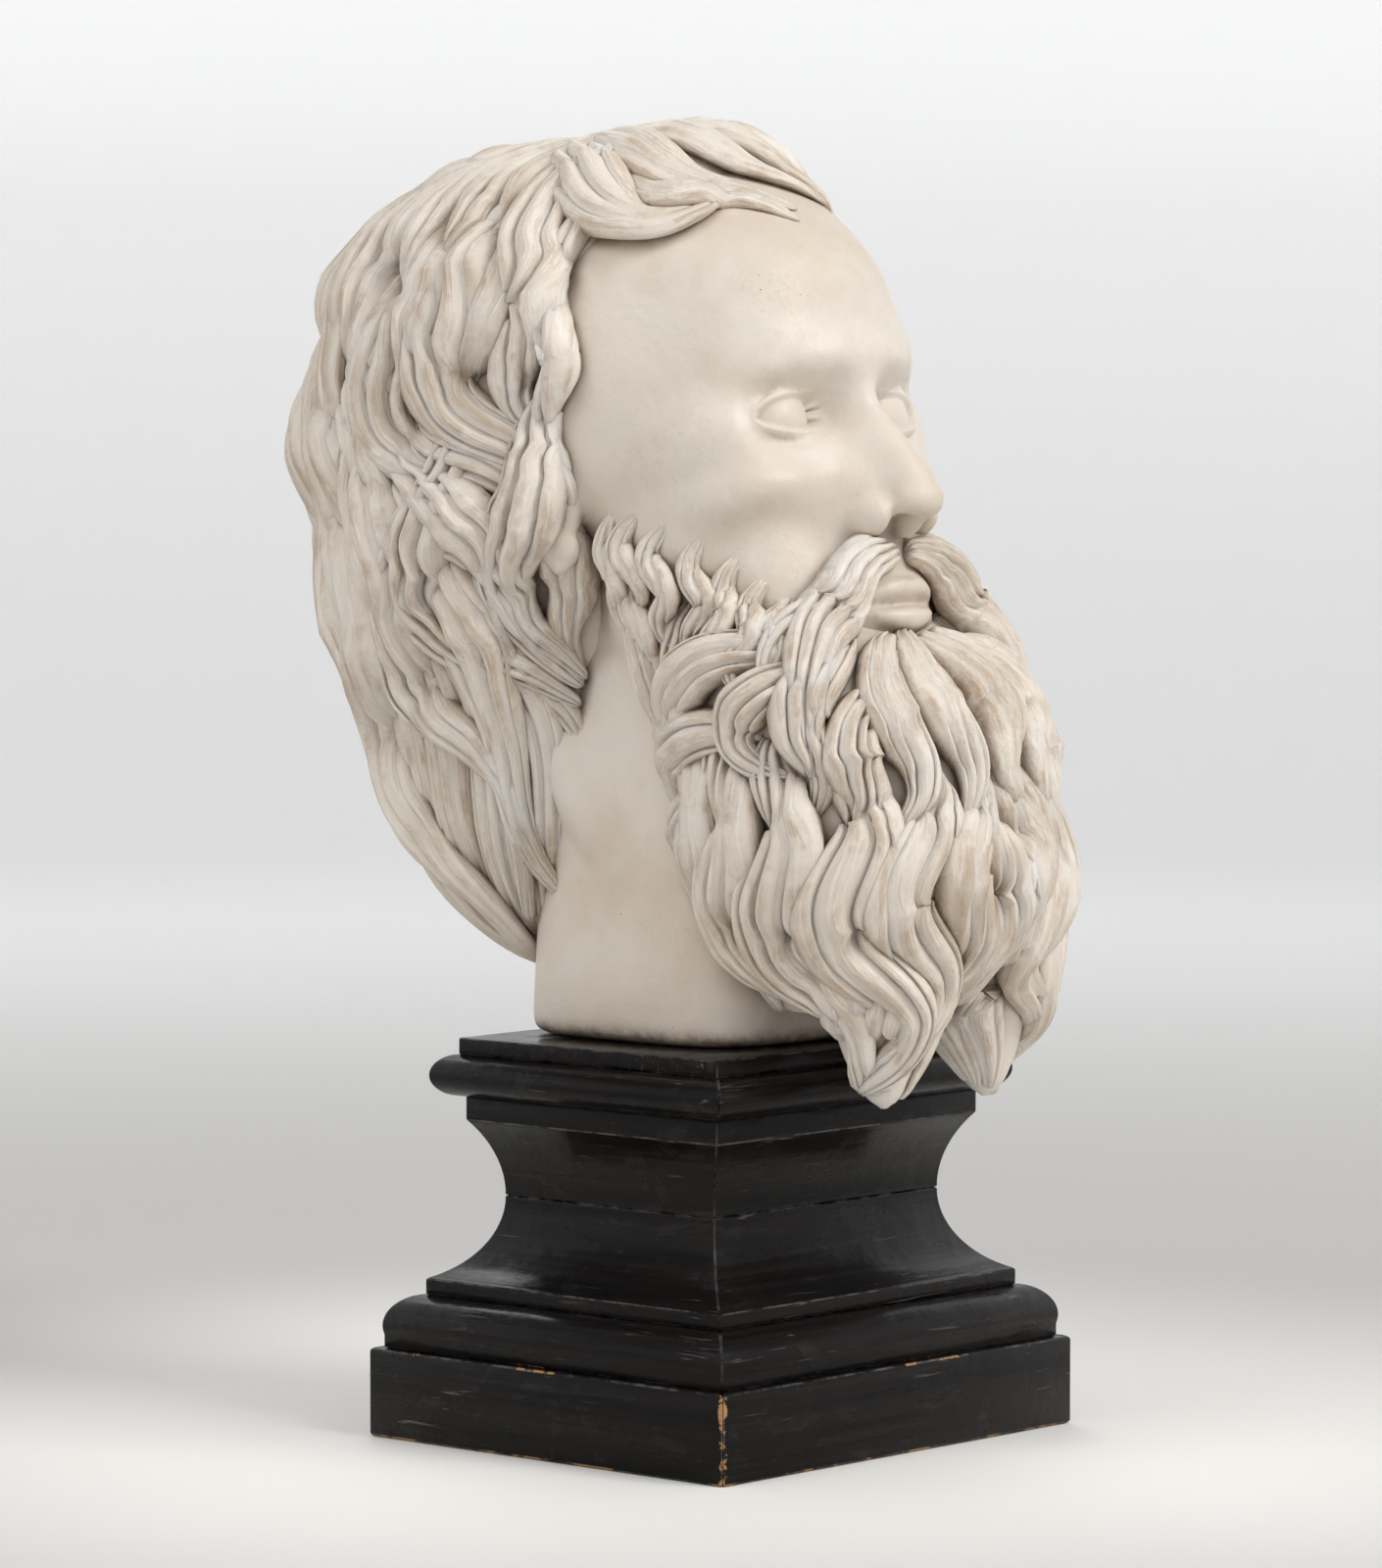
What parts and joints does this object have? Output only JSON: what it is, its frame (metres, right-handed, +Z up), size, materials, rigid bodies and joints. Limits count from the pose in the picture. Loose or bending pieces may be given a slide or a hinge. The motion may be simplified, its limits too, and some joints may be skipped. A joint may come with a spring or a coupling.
{
  "type": "marble bust on a wooden socle",
  "caption": "Bearded marble head, slightly tilted back, on a moulded and mitred black wooden socle; the head lifts off on its iron dowel.",
  "frame": {"origin": "centre of the socle's flat underside, where it rests", "axes": "+Z up, the face looks towards -Y, the figure's left is +X"},
  "size_m": [0.229, 0.3773, 0.5636],
  "materials": {
    "marble": "satin",
    "ebonised_wood": "semi-gloss paint, worn",
    "softwood": "bare",
    "iron": "matte",
    "plaster": "matte"
  },
  "bodies": {
    "socle": {"plinth_front": "ebonised_wood", "plinth_back": "ebonised_wood", "plinth_left": "ebonised_wood", "plinth_right": "ebonised_wood", "base_moulding_front": "ebonised_wood", "base_moulding_back": "ebonised_wood", "base_moulding_left": "ebonised_wood", "base_moulding_right": "ebonised_wood", "lower_hollow_front": "ebonised_wood", "lower_hollow_back": "ebonised_wood", "lower_hollow_left": "ebonised_wood", "lower_hollow_right": "ebonised_wood", "upper_hollow_front": "ebonised_wood", "upper_hollow_back": "ebonised_wood", "upper_hollow_left": "ebonised_wood", "upper_hollow_right": "ebonised_wood", "bead_front": "ebonised_wood", "bead_back": "ebonised_wood", "bead_left": "ebonised_wood", "bead_right": "ebonised_wood", "cap_board": "ebonised_wood", "upper_core": "softwood", "lower_core": "softwood", "base_block": "softwood"},
    "head": {"marble_head": "marble", "dowel_pin": "iron", "dowel_setting": "plaster"}
  },
  "joints": [
    {"name": "head_lift", "type": "slide", "parent": "socle", "child": "head", "axis": [0, 0, 1], "range_m": [0, 0.08]}
  ]
}
